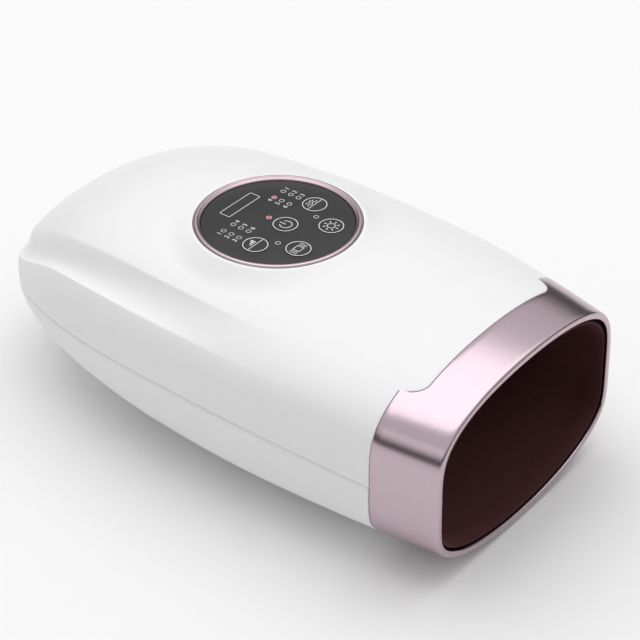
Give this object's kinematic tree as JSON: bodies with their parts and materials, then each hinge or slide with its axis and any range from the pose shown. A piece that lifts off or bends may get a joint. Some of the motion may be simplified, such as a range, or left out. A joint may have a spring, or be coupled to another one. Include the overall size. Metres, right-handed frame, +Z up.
{
  "type": "hand massager",
  "caption": "Oblong white hand massager with a metallic collar round a fabric-lined hand opening, a round key panel on top and an air bladder, heater and pump inside.",
  "frame": {"origin": "on the surface the feet stand on, under the middle of the body's length and width", "axes": "+Z up; +Y from the hand opening to the rear; +X to the right for someone looking into the hand opening"},
  "size_m": [0.176, 0.3055, 0.1121],
  "materials": {
    "gloss_white": "smooth white moulded plastic with a soft gloss",
    "rose_metal": "polished rose-grey metallised plastic",
    "frame_plastic": "plain grey moulded plastic",
    "bladder_film": "welded film bladder",
    "foam": "dark foam",
    "heater_film": "amber heating film",
    "burgundy_fabric": "dark burgundy ribbed weave",
    "panel_black": "smooth near-black panel",
    "key_grey": "near-black key caps",
    "lamp_clear": "clear light guide",
    "board_green": "green circuit board",
    "screw_steel": "plated steel screw",
    "rubber_grey": "dark rubber",
    "cell_blue": "sleeved cell",
    "valve_black": "black moulded plastic",
    "motor_steel": "plated motor can",
    "hose_clear": "clear flexible tube and flat cable"
  },
  "bodies": {
    "housing": {"upper_shell": "gloss_white", "lower_shell": "gloss_white", "front_collar": "rose_metal", "liner_frame": "frame_plastic", "upper_chamber": "frame_plastic", "lower_chamber": "frame_plastic", "end_bracket": "frame_plastic", "upper_air_bladder": "bladder_film", "lower_foam_pad": "foam", "heating_pad": "heater_film", "fabric_liner": "burgundy_fabric", "panel_bezel": "rose_metal", "panel_lens": "panel_black", "led_light_guide": "lamp_clear", "control_board": "board_green", "control_board_screw_1": "screw_steel", "control_board_screw_2": "screw_steel", "control_board_screw_3": "screw_steel", "control_board_screw_4": "screw_steel", "chamber_screw_1": "screw_steel", "chamber_screw_2": "screw_steel", "chamber_screw_3": "screw_steel", "chamber_screw_4": "screw_steel", "rear_case_screw_1": "screw_steel", "rear_case_screw_2": "screw_steel", "front_left_foot": "rubber_grey", "front_right_foot": "rubber_grey", "rear_left_foot": "rubber_grey", "rear_right_foot": "rubber_grey", "battery_cell_front": "cell_blue", "battery_cell_rear": "cell_blue", "battery_tray": "frame_plastic", "main_board": "board_green", "charging_inlet": "valve_black", "pump_motor": "motor_steel", "pump_cradle": "rubber_grey", "pump_head": "valve_black", "air_valve": "valve_black", "pump_hose": "hose_clear", "bladder_hose": "hose_clear", "vibration_motor": "motor_steel", "vibration_motor_cradle": "rubber_grey", "panel_ribbon_cable": "hose_clear"},
    "power_key": {"power_button": "key_grey"},
    "mode_key": {"mode_button": "key_grey"},
    "strength_key": {"strength_button": "key_grey"},
    "heat_key": {"heat_button": "key_grey"},
    "vibration_key": {"vibration_button": "key_grey"},
    "press_plate": {"press_pad": "foam"},
    "pump_shaft": {"pump_rotor": "motor_steel"},
    "vibration_shaft": {"vibration_weight": "motor_steel"}
  },
  "joints": [
    {"name": "power_key_press", "type": "slide", "parent": "housing", "child": "power_key", "axis": [0, 0, -1], "range_m": [0, 0.0005], "stiffness_N_per_m": 400},
    {"name": "mode_key_press", "type": "slide", "parent": "housing", "child": "mode_key", "axis": [0, 0, -1], "range_m": [0, 0.0005], "stiffness_N_per_m": 400},
    {"name": "strength_key_press", "type": "slide", "parent": "housing", "child": "strength_key", "axis": [0, 0, -1], "range_m": [0, 0.0005], "stiffness_N_per_m": 400},
    {"name": "heat_key_press", "type": "slide", "parent": "housing", "child": "heat_key", "axis": [0, 0, -1], "range_m": [0, 0.0005], "stiffness_N_per_m": 400},
    {"name": "vibration_key_press", "type": "slide", "parent": "housing", "child": "vibration_key", "axis": [0, 0, -1], "range_m": [0, 0.0005], "stiffness_N_per_m": 400},
    {"name": "press_pad_stroke", "type": "slide", "parent": "housing", "child": "press_plate", "axis": [0, 0, -1], "range_m": [0, 0.012], "stiffness_N_per_m": 600, "deforming": ["upper_air_bladder", "fabric_liner"]},
    {"name": "pump_spin", "type": "hinge", "parent": "housing", "child": "pump_shaft", "pos_m": [0.0115, 0.08325, 0.0781], "axis": [1, 0, 0], "continuous": true},
    {"name": "vibration_spin", "type": "hinge", "parent": "housing", "child": "vibration_shaft", "pos_m": [-0.0483, 0.08325, 0.0741], "axis": [1, 0, 0], "continuous": true}
  ]
}
